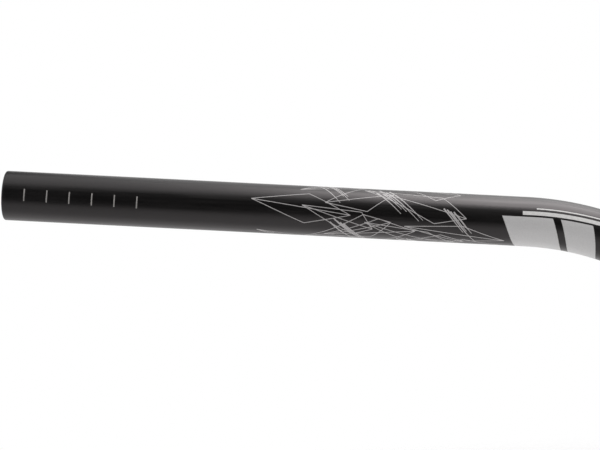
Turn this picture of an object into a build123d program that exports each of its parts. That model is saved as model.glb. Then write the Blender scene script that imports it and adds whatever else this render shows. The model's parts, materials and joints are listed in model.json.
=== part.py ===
"""Riser handlebar for a bicycle: one butted aluminium tube, swaged thick in the middle and bent four times.

The bar lies across the bicycle along X, with the middle of its stem clamp at the origin.
Z is up, so the arms rise towards the grips.  The front faces -Y, and the grips sweep back towards +Y.
"""

import os
from math import atan2, cos, degrees, radians, sin, tan

from build123d import *

# Driving dimensions, in millimetres and degrees
bar_width = 780.0  # along X, between the centres of the two ends
clamp_diameter = 31.8
clamp_length = 70.0  # parallel stretch in the middle, which the stem holds
grip_diameter = 22.2
clamp_to_bend = 10.0  # straight stretch on each side, from the clamp to the inner bend
arm_reach = 75.0  # along X, from the corner of the inner bend to the corner of the outer bend
arm_rise = 32.5  # along Z, between the same two corners
inner_bend_radius = 75.0
outer_bend_radius = 130.0
upsweep = 4.0
backsweep = 9.0
clamp_wall = 2.6
bend_wall = 2.4
grip_wall = 2.1
butt_length = 30.0  # over which the wall thins from the outer bend to the grip
end_round = 0.8  # on the outer edge of each open end
end_chamfer = 0.4  # on the inner edge of each open end

# Radii of the outside and of the bore
clamp_radius = clamp_diameter / 2
clamp_bore_radius = clamp_radius - clamp_wall
grip_radius = grip_diameter / 2
bend_bore_radius = grip_radius - bend_wall
grip_bore_radius = grip_radius - grip_wall
butt_taper = degrees(atan2(grip_bore_radius - bend_bore_radius, butt_length))

# Corners of the centreline of the right half
arm_angle = atan2(arm_rise, arm_reach)
inner_corner_x = clamp_length / 2 + clamp_to_bend + inner_bend_radius * tan(arm_angle / 2)
inner_corner = Vector(inner_corner_x, 0, 0)
outer_corner = inner_corner + Vector(arm_reach, 0, arm_rise)
grip_direction = Vector(
    cos(radians(upsweep)) * cos(radians(backsweep)),
    cos(radians(upsweep)) * sin(radians(backsweep)),
    sin(radians(upsweep)),
)
grip_reach = bar_width / 2 - outer_corner.X
bar_end = outer_corner + grip_direction * (grip_reach / grip_direction.X)

# Centreline: clamp, inner bend, arm, outer bend and grip, in this order along X
with BuildLine() as centreline:
    FilletPolyline(
        (0, 0, 0),
        inner_corner,
        outer_corner,
        bar_end,
        radius=[inner_bend_radius, outer_bend_radius],
    )
clamp_line, inner_bend, arm_line, outer_bend, grip_line = centreline.edges().sort_by(Axis.X)

# The swaged taper runs from the end of the clamp through the inner bend and along the arm
with BuildLine() as taper_line:
    Line((clamp_length / 2, 0, 0), clamp_line @ 1)
    add(inner_bend)
    add(arm_line)
taper_path = taper_line.wire()
taper_start = Plane(taper_path @ 0, x_dir=(0, 1, 0), z_dir=taper_path % 0)
taper_end = Plane(taper_path @ 1, x_dir=(0, 1, 0), z_dir=taper_path % 1)
grip_start = Plane(grip_line @ 0, z_dir=grip_direction)

with BuildPart() as handlebar:
    # Arm and outer bend of the right half, first the outside and then the bore
    for thick_radius, thin_radius, mode in (
        (clamp_radius, grip_radius, Mode.ADD),
        (clamp_bore_radius, bend_bore_radius, Mode.SUBTRACT),
    ):
        with BuildSketch(taper_start, mode=Mode.PRIVATE) as thick_section:
            Circle(thick_radius)
        with BuildSketch(taper_end, mode=Mode.PRIVATE) as thin_section:
            Circle(thin_radius)
        sweep([thick_section.sketch, thin_section.sketch], path=taper_path, multisection=True, mode=mode)
        sweep(thin_section.sketch, path=outer_bend, mode=mode)

    # Grip: a true cylinder outside, with a bore that opens from the bend's wall to the grip's wall
    with BuildSketch(grip_start):
        Circle(grip_radius)
    extrude(amount=grip_line.length)
    with BuildSketch(grip_start):
        Circle(bend_bore_radius)
    extrude(amount=butt_length, taper=-butt_taper, mode=Mode.SUBTRACT)
    with BuildSketch(grip_start.offset(butt_length)):
        Circle(grip_bore_radius)
    extrude(amount=grip_line.length - butt_length, mode=Mode.SUBTRACT)

    # Open end: the outer edge is rounded and the inner edge is chamfered
    end_face = handlebar.faces().filter_by(GeomType.PLANE).sort_by(Axis.X)[-1]
    fillet(end_face.edges().sort_by(SortBy.RADIUS)[-1], radius=end_round)
    end_face = handlebar.faces().filter_by(GeomType.PLANE).sort_by(Axis.X)[-1]
    chamfer(end_face.edges().sort_by(SortBy.RADIUS)[0], length=end_chamfer)

    # The left half is the mirror image, and the clamp's cylinder joins the two halves
    mirror(about=Plane.YZ)
    with BuildSketch(Plane.YZ):
        Circle(clamp_radius)
        Circle(clamp_bore_radius, mode=Mode.SUBTRACT)
    extrude(amount=clamp_length / 2, both=True)

handlebar.part.label = "handlebar"
os.makedirs("parts", exist_ok=True)
export_step(handlebar.part, "parts/handlebar.step")
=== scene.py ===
import json
import math

import bpy
import numpy as np
from mathutils import Matrix, Vector


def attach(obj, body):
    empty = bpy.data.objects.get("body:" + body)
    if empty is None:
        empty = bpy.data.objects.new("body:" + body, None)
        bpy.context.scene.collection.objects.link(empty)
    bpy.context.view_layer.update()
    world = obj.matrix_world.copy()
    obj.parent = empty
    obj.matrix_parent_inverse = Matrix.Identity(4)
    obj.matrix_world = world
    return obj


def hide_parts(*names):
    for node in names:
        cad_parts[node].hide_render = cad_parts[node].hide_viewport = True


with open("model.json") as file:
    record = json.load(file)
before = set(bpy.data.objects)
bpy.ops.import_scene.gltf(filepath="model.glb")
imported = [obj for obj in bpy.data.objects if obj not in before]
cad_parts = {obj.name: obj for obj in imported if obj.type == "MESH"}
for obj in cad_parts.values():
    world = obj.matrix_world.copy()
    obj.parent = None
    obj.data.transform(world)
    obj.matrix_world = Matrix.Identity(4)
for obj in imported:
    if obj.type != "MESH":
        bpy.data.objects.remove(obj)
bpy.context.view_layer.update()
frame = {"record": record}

# Bar: one aluminium tube with a wall that thins towards the ends, swaged thick in the middle for the stem.
# It is bent twice on each side, cut square and eased at the ends, then blasted and anodised satin black.
millimetre = 0.001
mounts = {mount["name"]: mount for mount in frame["record"]["mounts"]}
clamp_radius = mounts["stem_clamp"]["dims"]["r_mm"] * millimetre
clamp_half = mounts["stem_clamp"]["dims"]["length_mm"] * millimetre / 2
grip_radius = mounts["grip_right"]["dims"]["r_mm"] * millimetre
grip_length = mounts["grip_right"]["dims"]["length_mm"] * millimetre
grip_bore = mounts["end_bore_right"]["dims"]["r_mm"] * millimetre
clamp_bore = 13.3 * millimetre
bend_bore = 8.7 * millimetre
butt_length = 30 * millimetre
end_round = 0.8 * millimetre
end_chamfer = 0.4 * millimetre
arm_reach = 75 * millimetre
inner_bend_radius = 75 * millimetre
taper_ease = 0.05
crease_angle = math.radians(35)
outside_size = 401
rim_size = 9
bore_size = 201
around_size = 128

along_x = np.array([1.0, 0.0, 0.0])
along_y = np.array([0.0, 1.0, 0.0])
along_z = np.array([0.0, 0.0, 1.0])
mirror_x = np.array([-1.0, 1.0, 1.0])
grip_direction = np.array(mounts["grip_right"]["axis"])
grip_start = np.array(mounts["grip_right"]["pos_m"]) - grip_direction * grip_length / 2
outer_corner = grip_start - grip_direction * grip_start[1] / grip_direction[1]
arm_rise = outer_corner[2]
arm_angle = math.atan2(arm_rise, arm_reach)
arm_direction = np.array([math.cos(arm_angle), 0.0, math.sin(arm_angle)])
inner_tangent = inner_bend_radius * math.tan(arm_angle / 2)
outer_turn = math.acos(arm_direction @ grip_direction)
outer_tangent = np.linalg.norm(grip_start - outer_corner)
outer_bend_radius = outer_tangent / math.tan(outer_turn / 2)
bend_side = (grip_direction - arm_direction * math.cos(outer_turn)) / math.sin(outer_turn)

stretches = np.array([
    outer_corner[0] - arm_reach - inner_tangent,
    inner_bend_radius * arm_angle,
    math.hypot(arm_reach, arm_rise) - inner_tangent - outer_tangent,
    outer_bend_radius * outer_turn,
    grip_length + end_round,
])
stretch_starts = np.cumsum(stretches) - stretches
taper_end = stretch_starts[3]
grip_walk = stretch_starts[4]
bar_half = stretches.sum()


def bar_line(walk):
    """Centre points and headings of the bar at distances walked from its middle, negative to the left.

    The right half is the sum of five stretches, each as far as the walk has got into it: the clamp's
    straight, an arc in the upright plane, the arm's straight, an arc in the plane of arm and grip, and
    the grip's straight.  An arc of radius r, turned by t, adds r sin t ahead and r (1 - cos t) to its
    inner side.  The left half is the mirror image in x.
    """
    done = np.clip(np.abs(walk)[..., None] - stretch_starts, 0, stretches)
    inner = done[..., 1:2] / inner_bend_radius
    outer = done[..., 3:4] / outer_bend_radius
    centre = (
        done[..., 0:1] * along_x
        + inner_bend_radius * (np.sin(inner) * along_x + (1 - np.cos(inner)) * along_z)
        + done[..., 2:3] * arm_direction
        + outer_bend_radius * (np.sin(outer) * arm_direction + (1 - np.cos(outer)) * bend_side)
        + done[..., 4:5] * grip_direction
    )
    heading = np.where(
        outer > 0,
        np.cos(outer) * arm_direction + np.sin(outer) * bend_side,
        np.cos(inner) * along_x + np.sin(inner) * along_z,
    )
    side = np.where(walk < 0, -1.0, 1.0)
    centre[..., 0] *= side
    heading[..., 1] *= side
    heading[..., 2] *= side
    return centre, heading


def on_bar(walk, around, radius):
    """Points at a radius from the bar's line: centre + radius (cos a front + sin a up).

    The angle a is 0 at the front and a quarter turn on top.  Front is -Y made square to the bar's heading.
    """
    walk, around, radius = np.broadcast_arrays(walk, around, radius)
    centre, heading = bar_line(walk)
    front = heading[..., 1:2] * heading - along_y
    front /= np.linalg.norm(front, axis=-1, keepdims=True)
    up = np.cross(front, heading)
    return centre + radius[..., None] * (np.cos(around)[..., None] * front + np.sin(around)[..., None] * up)


def outside_radius(walk):
    """Clamp radius, then an even taper, then the grip radius, with both corners eased.

    The taper is ramp(s) - ramp(s - 1), where s runs from 0 to 1 along it and e is the ease:
    ramp(s) = (s + sqrt(s s + e e)) / 2.
    """
    share = (np.abs(walk) - clamp_half) / (taper_end - clamp_half)
    rising = (share + np.sqrt(share**2 + taper_ease**2)) / 2
    levelling = (share - 1 + np.sqrt((share - 1) ** 2 + taper_ease**2)) / 2
    return clamp_radius + (grip_radius - clamp_radius) * (rising - levelling)


def bore_radius(walk):
    """Straight lines between the bore of the clamp, that of the bend and that of the grip."""
    places = [clamp_half, taper_end, grip_walk, grip_walk + butt_length]
    return np.interp(np.abs(walk), places, [clamp_bore, bend_bore, bend_bore, grip_bore])


def bar_piece(name, points, faces):
    """Object of a whole array of points and four-cornered faces, which moves with the bar."""
    mesh = bpy.data.meshes.new(name)
    mesh.from_pydata(points.reshape(-1, 3).tolist(), [], faces.reshape(-1, 4).tolist())
    mesh.shade_smooth()
    mesh.set_sharp_from_angle(angle=crease_angle)
    piece = bpy.data.objects.new(name, mesh)
    bpy.context.collection.objects.link(piece)
    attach(piece, "root")
    return piece


# The tube's section is one closed loop, carried round the bar's line:
# along the outside, round the right rim, back through the bore and round the left rim.
outside_walk = np.linspace(end_round - bar_half, bar_half - end_round, outside_size)
rim_turn = np.linspace(0, math.pi / 2, rim_size)[1:]
rim_walk = bar_half - end_round * (1 - np.sin(rim_turn))
rim_radius = grip_radius - end_round * (1 - np.cos(rim_turn))
bore_walk = np.linspace(bar_half - end_chamfer, end_chamfer - bar_half, bore_size)
chamfer_radius = [grip_bore + end_chamfer]
loop_walk = np.concatenate([outside_walk, rim_walk, [bar_half], bore_walk, [-bar_half], -rim_walk[::-1]])
loop_radius = np.concatenate([
    outside_radius(outside_walk), rim_radius, chamfer_radius,
    bore_radius(bore_walk), chamfer_radius, rim_radius[::-1],
])
loop_size = len(loop_walk)
around = np.arange(around_size) * 2 * math.pi / around_size
bar_points = on_bar(loop_walk[:, None], around[None, :], loop_radius[:, None])
step, turn = np.meshgrid(np.arange(loop_size), np.arange(around_size), indexing="ij")
next_step = (step + 1) % loop_size
next_turn = (turn + 1) % around_size
bar_faces = np.stack([
    step * around_size + turn,
    next_step * around_size + turn,
    next_step * around_size + next_turn,
    step * around_size + next_turn,
], axis=-1)
bar = bar_piece("bar_tube", bar_points, bar_faces)
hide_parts("handlebar")

# The place of each point on a straightened tube lets the finish run along the bends:
# the walk, then the offsets to the front and upwards.
straight_place = np.stack(np.broadcast_arrays(
    loop_walk[:, None],
    loop_radius[:, None] * np.cos(around),
    loop_radius[:, None] * np.sin(around),
), axis=-1)
place_attribute = bar.data.attributes.new("straight_place", "FLOAT_VECTOR", "POINT")
place_attribute.data.foreach_set("vector", straight_place.astype(np.float32).ravel())


def link(material, source, output, target, socket):
    """Joins one node's output to another node's input."""
    material.node_tree.links.new(source.outputs[output], target.inputs[socket])


def new_material(name):
    """Material with its shader, the shader's node being the second result."""
    material = bpy.data.materials.new(name)
    material.use_nodes = True
    return material, material.node_tree.nodes["Principled BSDF"]


def black_anodised():
    """Satin black: a blasted grain, with faint streaks along the bar left from drawing the tube."""
    material, shader = new_material("satin_black_anodised")
    shader.inputs["Metallic"].default_value = 0.0
    shader.inputs["IOR"].default_value = 1.55
    shader.inputs["Specular Tint"].default_value = (1.0, 0.95, 0.96, 1)
    nodes = material.node_tree.nodes
    place = nodes.new("ShaderNodeAttribute")
    place.attribute_name = "straight_place"
    stretch = nodes.new("ShaderNodeMapping")
    stretch.inputs["Scale"].default_value = (30, 900, 900)
    streaks = nodes.new("ShaderNodeTexNoise")
    streaks.inputs["Scale"].default_value = 1
    streaks.inputs["Detail"].default_value = 4
    grain = nodes.new("ShaderNodeTexNoise")
    grain.inputs["Scale"].default_value = 3200
    grain.inputs["Detail"].default_value = 2
    tint = nodes.new("ShaderNodeValToRGB")
    tint.color_ramp.elements[0].position = 0.3
    tint.color_ramp.elements[0].color = (0.0022, 0.0021, 0.0021, 1)
    tint.color_ramp.elements[1].position = 0.72
    tint.color_ramp.elements[1].color = (0.0047, 0.0043, 0.0043, 1)
    gloss = nodes.new("ShaderNodeMapRange")
    gloss.inputs["To Min"].default_value = 0.24
    gloss.inputs["To Max"].default_value = 0.48
    relief = nodes.new("ShaderNodeBump")
    relief.inputs["Strength"].default_value = 0.12
    relief.inputs["Distance"].default_value = 0.05 * millimetre
    link(material, place, "Vector", stretch, "Vector")
    link(material, stretch, "Vector", streaks, "Vector")
    link(material, place, "Vector", grain, "Vector")
    link(material, streaks, "Fac", tint, "Fac")
    link(material, tint, "Color", shader, "Base Color")
    link(material, streaks, "Fac", gloss, "Value")
    link(material, gloss, "Result", shader, "Roughness")
    link(material, grain, "Fac", relief, "Height")
    link(material, relief, "Normal", shader, "Normal")
    return material


bar.data.materials.append(black_anodised())

# Cutting marks: six short strokes of grey ink near each end, printed on the front to shorten the bar by.
# They are a film of ink on the finish, one every centimetre from the end, in a row printed a little askew.
ink_lift = 0.03 * millimetre
thin_ink_shade = 0.8
mark_count = 6
mark_from = 10.2 * millimetre
mark_pitch = 10 * millimetre
mark_width = 0.55 * millimetre
mark_height = 5.4 * millimetre
mark_skew = 0.016


def ink_film(name, corners, along, across, material):
    """Closed thin film of ink on both halves of the bar, one patch for each four corners.

    A corner is an inset from the bar's end and an arc round the bar, from the front line upwards, in metres.
    A patch is the even blend of its corners, on a grid laid on the outside: its top is raised by the ink's
    lift, its underside lies as far below the finish, and a rim joins the two.
    The right half is the mirror image.
    """
    first = np.linspace(0, 1, along + 1)[:, None, None]
    second = np.linspace(0, 1, across + 1)[None, :, None]
    laid = corners[:, :, None, None, :]
    grid = (
        (1 - first) * ((1 - second) * laid[:, 0] + second * laid[:, 3])
        + first * ((1 - second) * laid[:, 1] + second * laid[:, 2])
    )
    walk = grid[..., 0] - bar_half
    angle = grid[..., 1] / grip_radius
    layers = [on_bar(walk, angle, outside_radius(walk) + lift) for lift in (ink_lift, -ink_lift)]
    left_points = np.stack(layers, axis=1).reshape(-1, 3)
    index = np.arange((along + 1) * (across + 1)).reshape(along + 1, across + 1)
    top = np.stack([index[:-1, :-1], index[1:, :-1], index[1:, 1:], index[:-1, 1:]], axis=-1).reshape(-1, 4)
    edge = np.concatenate([index[:-1, 0], index[-1, :-1], index[:0:-1, -1], index[0, :0:-1]])
    ahead = np.roll(edge, -1)
    rim = np.stack([edge, edge + index.size, ahead + index.size, ahead], axis=-1)
    patch = np.concatenate([top, top[:, ::-1] + index.size, rim])
    left_faces = (patch + 2 * index.size * np.arange(len(corners))[:, None, None]).reshape(-1, 4)
    points = np.concatenate([left_points, left_points * mirror_x])
    faces = np.concatenate([left_faces, left_faces[:, ::-1] + len(left_points)])
    film = bar_piece(name, points, faces)
    film.data.materials.append(material)


def square_to(run):
    """Unit vectors square to the runs: each run (a, b) gives (-b, a) over its length."""
    return np.stack([-run[:, 1], run[:, 0]], axis=-1) / np.linalg.norm(run, axis=-1, keepdims=True)


def stroke_corners(starts, ends, start_width, end_width):
    """Corners of straight strokes: half the width to either side of each end."""
    aside = square_to(ends - starts)
    near = aside * start_width / 2
    far = aside * end_width / 2
    return np.stack([starts - near, ends - far, ends + far, starts + near], axis=1)


def printed_ink(name, colour, roughness):
    """Screen-printed ink: a matt colour, a little uneven where it was squeezed through the mesh."""
    material, shader = new_material(name)
    shader.inputs["Roughness"].default_value = roughness
    nodes = material.node_tree.nodes
    place = nodes.new("ShaderNodeTexCoord")
    blotch = nodes.new("ShaderNodeTexNoise")
    blotch.inputs["Scale"].default_value = 1400
    blotch.inputs["Detail"].default_value = 3
    tint = nodes.new("ShaderNodeValToRGB")
    tint.color_ramp.elements[0].position = 0.25
    tint.color_ramp.elements[0].color = (*(thin_ink_shade * np.array(colour)), 1)
    tint.color_ramp.elements[1].position = 0.7
    tint.color_ramp.elements[1].color = (*colour, 1)
    link(material, place, "Object", blotch, "Vector")
    link(material, blotch, "Fac", tint, "Fac")
    link(material, tint, "Color", shader, "Base Color")
    return material


mark_steps = mark_pitch * np.arange(mark_count)
mark_middles = np.stack([mark_from + mark_steps, mark_skew * (mark_steps.mean() - mark_steps)], axis=-1)
half_mark = np.array([mark_skew, 1.0]) * mark_height / 2
mark_corners = stroke_corners(mark_middles - half_mark, mark_middles + half_mark, mark_width, mark_width)
mark_ink = printed_ink("grey_mark_ink", (0.32, 0.31, 0.30), roughness=0.5)
ink_film("cutting_marks", mark_corners, along=12, across=2, material=mark_ink)

# Line print: long folded darts in thin pale lines, laid over each other all round the bar between
# grip and bend, with bundles of slanted strokes among them.  They are printed like the marks.
dart_rows = 4
dart_columns = 5
dart_from = 117 * millimetre
dart_to = 180 * millimetre
dart_stray = 0.4
dart_lengths_mm = (26, 46)
dart_leans = (0.1, 0.4)
dart_widths_mm = (8, 15)
shoulder_shares = (0.55, 0.8)
line_width = 0.29 * millimetre
print_seed = 12
girth = 2 * math.pi * grip_radius
shuffle = np.random.default_rng(print_seed)
column, row = [part.ravel() for part in np.meshgrid(np.arange(dart_columns), np.arange(dart_rows))]
dart_count = dart_rows * dart_columns
column_share = (column + shuffle.uniform(-dart_stray, dart_stray, dart_count)) / (dart_columns - 1)
row_share = (row + shuffle.uniform(-dart_stray, dart_stray, dart_count)) / dart_rows
tip = np.stack([dart_from + (dart_to - dart_from) * column_share, girth * (row_share - 0.5)], axis=-1)
dart_length = shuffle.uniform(*dart_lengths_mm, dart_count) * millimetre
dart_lean = shuffle.choice([-1, 1], dart_count) * shuffle.uniform(*dart_leans, dart_count)
dart_width = shuffle.uniform(*dart_widths_mm, dart_count) * millimetre
shoulder_share = shuffle.uniform(*shoulder_shares, dart_count)
dart_run = np.stack([dart_length, dart_lean * dart_length], axis=-1)
tail = tip + dart_run
shoulder = tip + dart_run * shoulder_share[:, None]
half_dart = square_to(dart_run) * dart_width[:, None] / 2
upper = shoulder + half_dart
lower = shoulder - half_dart
line_starts = np.concatenate([tip, upper, tail, lower, tip])
line_ends = np.concatenate([upper, tail, lower, tip, tail])
line_corners = stroke_corners(line_starts, line_ends, line_width, line_width)
line_ink = printed_ink("pale_line_ink", (0.46, 0.45, 0.45), roughness=0.45)
ink_film("dart_lines", line_corners, along=16, across=1, material=line_ink)

bundle_count = 8
bundle_strokes = 5
bundle_from = 126 * millimetre
bundle_to = 196 * millimetre
bundle_turn = 0.618
bundle_start = -0.3
bundle_slopes = (0.6, 1.3)
stroke_gap = 1.5 * millimetre
stroke_stray_mm = 2
stroke_lengths_mm = (9, 22)
stroke_head = 0.65 * millimetre
stroke_foot = 0.22 * millimetre
bundle, stroke = [part.ravel() for part in np.meshgrid(np.arange(bundle_count), np.arange(bundle_strokes))]
stroke_count = bundle_count * bundle_strokes
stroke_slope = shuffle.uniform(*bundle_slopes, bundle_count)[bundle]
stroke_stray = shuffle.uniform(-stroke_stray_mm, stroke_stray_mm, stroke_count) * millimetre
stroke_starts = np.stack([
    bundle_from + (bundle_to - bundle_from) * bundle / (bundle_count - 1) + stroke_gap * stroke,
    girth * (bundle * bundle_turn % 1 + bundle_start) + stroke_stray,
], axis=-1)
stroke_length = shuffle.uniform(*stroke_lengths_mm, stroke_count) * millimetre
stroke_run = np.stack([np.ones(stroke_count), -stroke_slope], axis=-1)
stroke_run *= (stroke_length / np.linalg.norm(stroke_run, axis=-1))[:, None]
hatch_corners = stroke_corners(stroke_starts, stroke_starts + stroke_run, stroke_head, stroke_foot)
ink_film("hatch_strokes", hatch_corners, along=16, across=1, material=line_ink)

# Silver print: five slanted blocks that narrow from the outer bend towards the clamp, in silver ink.
# They cover the lower front of the bar and run under it, with plain white stripes above them.
block_start = 230 * millimetre
block_widths = np.array([22, 14, 9, 6, 4]) * millimetre
block_gap = 3.4 * millimetre
block_lean = -0.42
block_low = math.radians(-125) * grip_radius
block_side = math.radians(-90) * grip_radius
block_high = math.radians(10) * grip_radius
block_near = block_start + np.cumsum(block_widths + block_gap) - block_widths - block_gap
block_far = block_near + block_widths
foot_shift = block_lean * (block_low - block_side)
head_shift = block_lean * (block_high - block_side)
foot_arc = np.full(len(block_widths), block_low)
head_arc = np.full(len(block_widths), block_high)
block_corners = np.stack([
    np.stack([block_near + foot_shift, foot_arc], axis=-1),
    np.stack([block_far + foot_shift, foot_arc], axis=-1),
    np.stack([block_far + head_shift, head_arc], axis=-1),
    np.stack([block_near + head_shift, head_arc], axis=-1),
], axis=1)


def silver_ink():
    """Silver ink: fine bright flakes in a pale grey binder."""
    material, shader = new_material("silver_ink")
    shader.inputs["Metallic"].default_value = 0.06
    shader.inputs["Roughness"].default_value = 0.42
    nodes = material.node_tree.nodes
    place = nodes.new("ShaderNodeTexCoord")
    flakes = nodes.new("ShaderNodeTexVoronoi")
    flakes.inputs["Scale"].default_value = 5000
    tint = nodes.new("ShaderNodeValToRGB")
    tint.color_ramp.elements[0].color = (0.45, 0.45, 0.45, 1)
    tint.color_ramp.elements[1].color = (0.53, 0.53, 0.53, 1)
    link(material, place, "Object", flakes, "Vector")
    link(material, flakes, "Color", tint, "Fac")
    link(material, tint, "Color", shader, "Base Color")
    return material


ink_film("silver_blocks", block_corners, along=14, across=28, material=silver_ink())

stripe_arcs = np.radians([19, 31]) * grip_radius
stripe_from = np.array([231, 237]) * millimetre
stripe_to = np.array([276, 270]) * millimetre
stripe_widths = np.array([[1.8], [0.6]]) * millimetre
stripe_starts = np.stack([stripe_from, stripe_arcs], axis=-1)
stripe_ends = np.stack([stripe_to, stripe_arcs], axis=-1)
stripe_corners = stroke_corners(stripe_starts, stripe_ends, stripe_widths, stripe_widths)
white_ink = printed_ink("white_ink", (0.62, 0.62, 0.61), roughness=0.45)
ink_film("white_stripes", stripe_corners, along=32, across=2, material=white_ink)

# Studio: a pale floor that fades out towards its rim, a white tent, and soft lamps round the bar.
# One dark card stands behind the camera and keeps the front of the bar black.
# Another hangs behind the left grip and keeps a pale rim off its upper edge.
floor_half = (1.0, 0.5)
floor_middle = (0.0, 0.04, -0.14)
floor_sides = 96
floor_fade = 0.45
floor_turn = np.arange(floor_sides) * 2 * math.pi / floor_sides
floor_rim = np.stack([
    floor_middle[0] + floor_half[0] * np.cos(floor_turn),
    floor_middle[1] + floor_half[1] * np.sin(floor_turn),
    np.full(floor_sides, floor_middle[2]),
], axis=-1)
floor_mesh = bpy.data.meshes.new("studio_floor")
floor_mesh.from_pydata(floor_rim.tolist(), [], [list(range(floor_sides))])
floor = bpy.data.objects.new("studio_floor", floor_mesh)
bpy.context.collection.objects.link(floor)


def pale_floor():
    """Matt pale grey that turns clear at the rim, by the distance from the middle in shares of the half size.

    From below it is clear all over: its opacity is the fade less the back of the face, and not under 0.
    """
    material, shader = new_material("pale_floor")
    shader.inputs["Base Color"].default_value = (0.63, 0.63, 0.63, 1)
    shader.inputs["Roughness"].default_value = 0.9
    nodes = material.node_tree.nodes
    place = nodes.new("ShaderNodeTexCoord")
    centred = nodes.new("ShaderNodeMapping")
    centred.inputs["Location"].default_value = (
        -floor_middle[0] / floor_half[0], -floor_middle[1] / floor_half[1], -floor_middle[2],
    )
    centred.inputs["Scale"].default_value = (1 / floor_half[0], 1 / floor_half[1], 1)
    inwards = nodes.new("ShaderNodeTexGradient")
    inwards.gradient_type = "SPHERICAL"
    fade = nodes.new("ShaderNodeMapRange")
    fade.interpolation_type = "SMOOTHSTEP"
    fade.inputs["From Max"].default_value = floor_fade
    facing = nodes.new("ShaderNodeNewGeometry")
    opacity = nodes.new("ShaderNodeMath")
    opacity.operation = "SUBTRACT"
    opacity.use_clamp = True
    link(material, place, "Object", centred, "Vector")
    link(material, centred, "Vector", inwards, "Vector")
    link(material, inwards, "Fac", fade, "Value")
    link(material, fade, "Result", opacity, 0)
    link(material, facing, "Backfacing", opacity, 1)
    link(material, opacity, "Value", shader, "Alpha")
    return material


floor_mesh.materials.append(pale_floor())

black_cloth, cloth_shader = new_material("black_cloth")
cloth_shader.inputs["Base Color"].default_value = (0.01, 0.01, 0.01, 1)
cloth_shader.inputs["Roughness"].default_value = 1.0


def dark_card(name, left, right, first_edge, second_edge):
    """Flat card of black cloth between two level edges, each given by its y and z, unseen by the camera."""
    mesh = bpy.data.meshes.new(name)
    corners = [(left, *first_edge), (right, *first_edge), (right, *second_edge), (left, *second_edge)]
    mesh.from_pydata(corners, [], [[0, 1, 2, 3]])
    mesh.materials.append(black_cloth)
    card = bpy.data.objects.new(name, mesh)
    bpy.context.collection.objects.link(card)
    card.visible_camera = False


dark_card("front_card", left=-1.7, right=0.6, first_edge=(-1.0, -0.68), second_edge=(-1.0, 1.5))
dark_card("rear_card", left=-1.1, right=-0.35, first_edge=(0.5, 0.9), second_edge=(0.95, 0.6))


def softbox(name, place, turn, width, depth, watts, highlights=True):
    """Soft lamp, unseen by the camera, that looks straight down until it is turned.

    The turn is in degrees about x, y and z.  A lamp without highlights only fills in colours.
    """
    lamp_data = bpy.data.lights.new(name, "AREA")
    lamp_data.shape = "RECTANGLE"
    lamp_data.size = width
    lamp_data.size_y = depth
    lamp_data.energy = watts
    lamp_data.color = (1.0, 0.97, 0.97)
    lamp = bpy.data.objects.new(name, lamp_data)
    lamp.location = place
    lamp.rotation_euler = np.radians(turn)
    lamp.visible_camera = False
    lamp.visible_glossy = highlights
    bpy.context.collection.objects.link(lamp)


softbox("overhead_softbox", (0.18, -0.05, 0.9), turn=(0, 0, 0), width=0.7, depth=0.72, watts=7.5)
softbox("rear_softbox", (0.42, 0.6, 0.9), turn=(0, 0, 0), width=0.76, depth=0.58, watts=2.4)
softbox("light_table", (0.0, 0.18, -0.13), turn=(180, 0, 0), width=1.2, depth=0.3, watts=0.35)
softbox(
    "front_fill", (0.0, -0.95, -0.17), turn=(90, 0, 0), width=1.6, depth=0.26, watts=4.5,
    highlights=False,
)

world = bpy.data.worlds.new("white_tent")
world.use_nodes = True
world.node_tree.nodes["Background"].inputs["Color"].default_value = (1, 1, 1, 1)
world.node_tree.nodes["Background"].inputs["Strength"].default_value = 1.0
bpy.context.scene.world = world

# Camera: level with the left grip, looking square at it and rolled a little, as in the photograph.
# A point inside the grip is put where it shows in a picture 600 pixels wide and 450 high.
picture_middle = np.array([300.0, 225.0])
grip_in_picture = np.array([276.2, 212.2])
focal_pixels = 1558
camera_distance = 0.7
camera_azimuth = math.radians(8.65)
camera_roll = math.radians(-1.11)
grip_aim = Vector((-0.270, 0.0215, 0.0406))
looking = Vector((math.sin(camera_azimuth), math.cos(camera_azimuth), 0))
level_right = Vector((math.cos(camera_azimuth), -math.sin(camera_azimuth), 0))
level_up = level_right.cross(looking)
right = math.cos(camera_roll) * level_right + math.sin(camera_roll) * level_up
above = math.cos(camera_roll) * level_up - math.sin(camera_roll) * level_right
offset = (picture_middle - grip_in_picture) * camera_distance / focal_pixels
camera_place = grip_aim + right * offset[0] - above * offset[1] - looking * camera_distance
camera_data = bpy.data.cameras.new("photo_camera")
camera_data.sensor_width = 36
camera_data.lens = camera_data.sensor_width * focal_pixels / (2 * picture_middle[0])
camera = bpy.data.objects.new("photo_camera", camera_data)
camera.matrix_world = Matrix((
    (right.x, above.x, -looking.x, camera_place.x),
    (right.y, above.y, -looking.y, camera_place.y),
    (right.z, above.z, -looking.z, camera_place.z),
    (0, 0, 0, 1),
))
bpy.context.collection.objects.link(camera)
bpy.context.scene.camera = camera
bpy.context.scene.view_settings.view_transform = "Standard"
